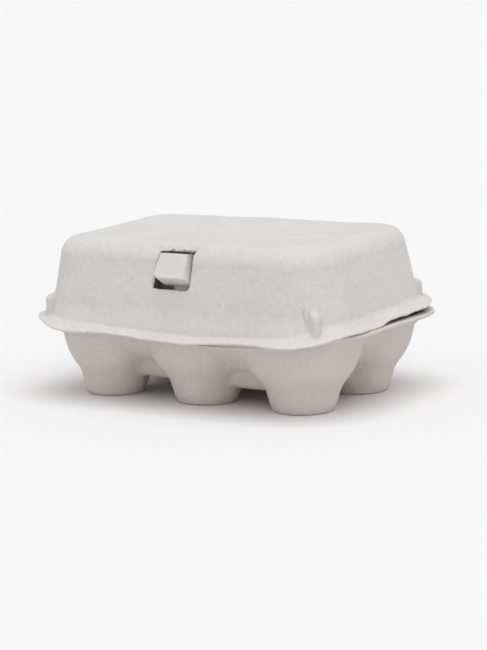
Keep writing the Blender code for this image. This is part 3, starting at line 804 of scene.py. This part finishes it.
def build_flap(material):
    """The flap's tongue with the button pressed out of it, and a hollow pressed in below the button."""
    near = np.linspace(0, FLAP_FINE_HALF, 40)
    across = np.concatenate([near, np.linspace(FLAP_FINE_HALF, FLAP_GRID_HALF, 20)[1:]])
    across = np.concatenate([-across[:0:-1], across])
    stretches = ((0.4, 14, 14), (14, 22, 24), (22, 27, 9), (27, 29.9, 10))
    up = np.concatenate([np.linspace(start, end, count)[1:] for start, end, count in stretches]) * MM
    s, v = np.meshgrid(across, up, indexing="xy")
    s, v = s.ravel(), v.ravel()
    half = FLAP_HALF_FOOT + (FLAP_HALF_TOP - FLAP_HALF_FOOT) * v / FLAP_HEIGHT
    near_top = np.maximum(v - (FLAP_HEIGHT - FLAP_CORNER), 0)
    half = half - FLAP_CORNER + np.sqrt(FLAP_CORNER ** 2 - near_top ** 2)
    middle = np.minimum(np.abs(s), FLAP_FINE_HALF)
    outer = np.clip((np.abs(s) - FLAP_FINE_HALF) / (FLAP_GRID_HALF - FLAP_FINE_HALF), 0, 1)
    u = np.sign(s) * (middle + outer * (half - FLAP_FINE_HALF))
    button = button_depth(u, v)
    dent = smooth_step((u - DENT_X[0]) / (2 * MM)) * smooth_step((DENT_X[1] - u) / (1.5 * MM))
    dent = dent * smooth_step((v - DENT_SPAN[0]) / (3 * MM)) * smooth_step((DENT_SPAN[1] - v) / (3 * MM))
    out = -SHEET / 2 - button + DENT_DEPTH * dent * (1 - smooth_step(button / (1 * MM)))
    points = np.column_stack([u, out, v])
    faces = ring_faces(len(up), len(across), close=False)
    points = warp(points, 22 * MM, 0.25 * MM, 71)
    points, faces, torn = thicken(points, faces, rough=0.15 * MM, seed=3)
    points = roughen(points, faces, 81, 0.03 * MM)
    return add_piece("lock_flap_skin", flap_to_world(points), faces, material, torn)


def strip(name, path, half_width, thickness, material, seed, drop=0.0):
    """A living hinge: a thin strip along X, whose section follows a path of Y and Z.

    Drop is how much of the tray's dip the start of the path follows.
    """
    across = np.linspace(-half_width, half_width, 100)
    points = np.array([(x, y, z) for y, z in path for x in across])
    points[:, 2] -= drop * edge_dip(points[:, 0]) * np.repeat(np.linspace(1, 0, len(path)), len(across))
    points[:, 1] += 0.15 * MM * noise(points, 5 * MM, seed)
    faces = ring_faces(len(path), len(across), close=False)
    points, faces, torn = thicken(points, faces, thickness, 0.1 * MM, seed)
    points = roughen(points, faces, seed + 1, 0.03 * MM)
    return add_piece(name, points, faces, material, torn)


def build_lid_fold(material):
    """The fold along the rear, from the tray's rim up to the lid's flange."""
    low, high = node_box("lid_fold")
    deepest = high[1] - low[1] - FRAME_FOLD
    path = []
    for share in np.linspace(0, 1, 13):
        bulge = deepest * math.sin(math.pi * share)
        path.append((low[1] + FRAME_FOLD + bulge, low[2] + (high[2] - low[2]) * share))
    return strip("lid_fold_skin", path, high[0], FOLD_SHEET, material, 91)


def build_flap_crease(material):
    """The crease along the front, from under the lid's wall, over the rim's inner edge, up into the flap."""
    low = np.array((-TRAY_HALF[1] + 1.2 * MM, DECK_Z + SHEET - 1.5 * MM))
    bend = np.array((CREASE[1] - 1.4 * MM, DECK_Z + SHEET + 0.5 * MM))
    high = CREASE[1:] + 0.6 * MM * np.array((math.sin(FLAP_LEAN), math.cos(FLAP_LEAN)))
    shares = np.linspace(0, 1, 9)
    path = [(1 - t) ** 2 * low + 2 * t * (1 - t) * bend + t * t * high for t in shares]
    return strip("flap_crease_skin", path, FLAP_HALF_FOOT, CREASE_SHEET, material, 95, drop=1.0)


# ---------------------------------------------------------------- materials

def add_node(tree, kind, **values):
    node = tree.nodes.new(kind)
    for key, value in values.items():
        setattr(node, key, value)
    return node


def noise_node(tree, coordinates, scale, detail=3.0, stretch=None):
    texture = add_node(tree, "ShaderNodeTexNoise")
    texture.inputs["Scale"].default_value = scale
    texture.inputs["Detail"].default_value = detail
    source = coordinates
    if stretch:
        mapping = add_node(tree, "ShaderNodeMapping")
        mapping.inputs["Scale"].default_value = stretch
        tree.links.new(coordinates, mapping.inputs["Vector"])
        source = mapping.outputs["Vector"]
    tree.links.new(source, texture.inputs["Vector"])
    return texture.outputs["Fac"]


def ramp(tree, value, stops):
    """A colour ramp. Each stop is a position and a grey or a colour."""
    node = add_node(tree, "ShaderNodeValToRGB")
    elements = node.color_ramp.elements
    while len(elements) < len(stops):
        elements.new(0.5)
    for element, (position, colour) in zip(elements, stops):
        element.position = position
        element.color = (*colour, 1) if isinstance(colour, tuple) else (colour, colour, colour, 1)
    tree.links.new(value, node.inputs["Fac"])
    return node.outputs["Color"]


def mix_colour(tree, factor, first, second, mode="MIX"):
    node = add_node(tree, "ShaderNodeMix", data_type="RGBA", blend_type=mode)
    for value, socket in ((factor, node.inputs[0]), (first, node.inputs[6]), (second, node.inputs[7])):
        if isinstance(value, bpy.types.NodeSocket):
            tree.links.new(value, socket)
        elif isinstance(value, tuple):
            socket.default_value = (*value, 1)
        else:
            socket.default_value = value
    return node.outputs[2]


def pulp_material(name, colour, seed=0.0):
    """Dried paper pulp: mottled, with short fibres, small dark specks and yellower torn edges."""
    material = bpy.data.materials.new(name)
    material.use_nodes = True
    tree = material.node_tree
    shader = tree.nodes["Principled BSDF"]
    place = add_node(tree, "ShaderNodeTexCoord").outputs["Object"]
    shift = add_node(tree, "ShaderNodeMapping")
    shift.inputs["Location"].default_value = (seed, seed * 0.7, seed * 1.3)
    tree.links.new(place, shift.inputs["Vector"])
    place = shift.outputs["Vector"]

    clouds = ramp(tree, noise_node(tree, place, 40, 3), ((0.3, 0.97), (0.7, 1.02)))
    mottle = ramp(tree, noise_node(tree, place, 420, 3), ((0.3, 0.975), (0.7, 1.02)))
    grain = ramp(tree, noise_node(tree, place, 1500, 2), ((0.3, 0.96), (0.7, 1.03)))
    base = mix_colour(tree, 1.0, colour, clouds, "MULTIPLY")
    base = mix_colour(tree, 1.0, base, mottle, "MULTIPLY")
    base = mix_colour(tree, 1.0, base, grain, "MULTIPLY")
    fibre_a = noise_node(tree, place, 900, 2, (1.0, 0.16, 0.16))
    fibre_b = noise_node(tree, place, 900, 2, (0.16, 1.0, 0.16))
    for fibre in (fibre_a, fibre_b):
        light = ramp(tree, fibre, ((0.66, 0.0), (0.74, 1.0)))
        base = mix_colour(tree, light, base, tuple(min(channel * 1.05, 1) for channel in colour))
    specks = ramp(tree, noise_node(tree, place, 900, 1), ((0.21, 1.0), (0.26, 0.0)))
    base = mix_colour(tree, specks, base, tuple(channel * 0.72 for channel in colour))
    torn = add_node(tree, "ShaderNodeAttribute", attribute_name="torn").outputs["Fac"]
    frayed = ramp(tree, noise_node(tree, place, 130, 4), ((0.42, 0.0), (0.62, 0.9)))
    amount = add_node(tree, "ShaderNodeMath", operation="MULTIPLY")
    tree.links.new(torn, amount.inputs[0])
    tree.links.new(frayed, amount.inputs[1])
    edge_colour = (min(colour[0] * 1.08, 1), colour[1] * 1.04, colour[2] * 0.93)
    base = mix_colour(tree, amount.outputs[0], base, edge_colour)
    tree.links.new(base, shader.inputs["Base Color"])

    shader.inputs["Roughness"].default_value = 0.92
    shader.inputs["Specular IOR Level"].default_value = 0.25
    height = add_node(tree, "ShaderNodeMath", operation="MULTIPLY_ADD")
    tree.links.new(noise_node(tree, place, 1100, 4), height.inputs[0])
    height.inputs[1].default_value = 0.6
    tree.links.new(noise_node(tree, place, 330, 3), height.inputs[2])
    relief = add_node(tree, "ShaderNodeMath", operation="MULTIPLY_ADD")
    tree.links.new(fibre_a, relief.inputs[0])
    relief.inputs[1].default_value = 0.35
    tree.links.new(height.outputs[0], relief.inputs[2])
    bumps = add_node(tree, "ShaderNodeBump")
    bumps.inputs["Strength"].default_value = 0.55
    bumps.inputs["Distance"].default_value = 0.0005
    tree.links.new(relief.outputs[0], bumps.inputs["Height"])
    tree.links.new(bumps.outputs["Normal"], shader.inputs["Normal"])
    return material


# ---------------------------------------------------------------- stage, lights and camera

BACKGROUND = 0.93  # the brightness of the studio all round
OVERHEAD = 0.6  # and straight above
KEY_STRENGTH = 1.9
KEY_SOFTNESS = 60  # degrees that the light's disc spans
FLOOR_COLOUR = (0.772, 0.75, 0.73)
FLOOR_HALF = 60.0


def build_stage():
    mesh = bpy.data.meshes.new("floor")
    corners = [(x * FLOOR_HALF, y * FLOOR_HALF, 0) for x, y in ((-1, -1), (1, -1), (1, 1), (-1, 1))]
    mesh.from_pydata(corners, [], [(0, 1, 2, 3)])
    floor = bpy.data.objects.new("floor", mesh)
    bpy.context.scene.collection.objects.link(floor)
    material = bpy.data.materials.new("pale_floor")
    material.use_nodes = True
    shader = material.node_tree.nodes["Principled BSDF"]
    shader.inputs["Base Color"].default_value = (*FLOOR_COLOUR, 1)
    shader.inputs["Roughness"].default_value = 0.9
    shader.inputs["Specular IOR Level"].default_value = 0.0
    mesh.materials.append(material)


def add_sun(name, direction, strength, softness, colour):
    """A distant soft light, from the given direction."""
    data = bpy.data.lights.new(name, "SUN")
    data.energy = strength
    data.angle = math.radians(softness)
    data.color = colour
    light = bpy.data.objects.new(name, data)
    light.rotation_euler = Vector(direction).to_track_quat("Z", "Y").to_euler()
    bpy.context.scene.collection.objects.link(light)


def build_lights():
    """A bright studio all round, dimmer overhead, with one large soft light above the carton."""
    world = bpy.data.worlds.new("studio")
    bpy.context.scene.world = world
    world.use_nodes = True
    tree = world.node_tree
    direction = add_node(tree, "ShaderNodeTexCoord").outputs["Generated"]
    parts = add_node(tree, "ShaderNodeSeparateXYZ")
    tree.links.new(direction, parts.inputs[0])
    sky = ramp(tree, parts.outputs["Z"], ((0.1, BACKGROUND), (0.7, OVERHEAD)))
    tree.links.new(sky, tree.nodes["Background"].inputs["Color"])
    add_sun("key", (0.32, -0.32, 1.6), KEY_STRENGTH, KEY_SOFTNESS, (0.95, 1.0, 1.07))


def build_camera():
    """The camera stands to the front right, a little above the carton."""
    azimuth, elevation, roll = math.radians(31.93), math.radians(9.13), math.radians(-1.37)
    distance = 0.8727
    aim = Vector((0, 0, 0.034))
    back = Vector((math.sin(azimuth) * math.cos(elevation), -math.cos(azimuth) * math.cos(elevation),
                   math.sin(elevation)))
    right = (-back).cross(Vector((0, 0, 1))).normalized()
    up = right.cross(-back)
    across = right * math.cos(roll) + up * math.sin(roll)
    upward = up * math.cos(roll) - right * math.sin(roll)
    data = bpy.data.cameras.new("camera")
    data.lens = 110.14
    data.shift_x = 0.0133
    data.shift_y = -0.0174
    data.clip_start = 0.01
    camera = bpy.data.objects.new("camera", data)
    matrix = Matrix((across, upward, back)).transposed().to_4x4()
    matrix.translation = aim + back * distance
    camera.matrix_world = matrix
    bpy.context.scene.collection.objects.link(camera)
    bpy.context.scene.camera = camera


# ---------------------------------------------------------------- the carton

def build_carton():
    tray_pulp = pulp_material("tray_pulp", (0.615, 0.565, 0.53), 0.0)
    lid_pulp = pulp_material("lid_pulp", (0.605, 0.575, 0.548), 0.31)
    flap_pulp = pulp_material("flap_pulp", (0.60, 0.585, 0.56), 0.67)
    tray = build_tray(tray_pulp)
    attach(tray, "tray")
    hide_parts(*CUPS, *POSTS, "tray_rim")
    lid = build_lid(lid_pulp)
    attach(lid, "lid")
    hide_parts("lid_shell")
    fray = build_window_fray(lid_pulp)
    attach(fray, "lid")
    flap = build_flap(flap_pulp)
    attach(flap, "lock_flap")
    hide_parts("flap_panel", "lock_button")
    fold = build_lid_fold(tray_pulp)
    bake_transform(fold)
    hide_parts("lid_fold")
    crease = build_flap_crease(tray_pulp)
    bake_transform(crease)
    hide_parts("flap_crease")


build_camera()
build_stage()
build_lights()
build_carton()
bpy.context.scene.view_settings.view_transform = "Standard"
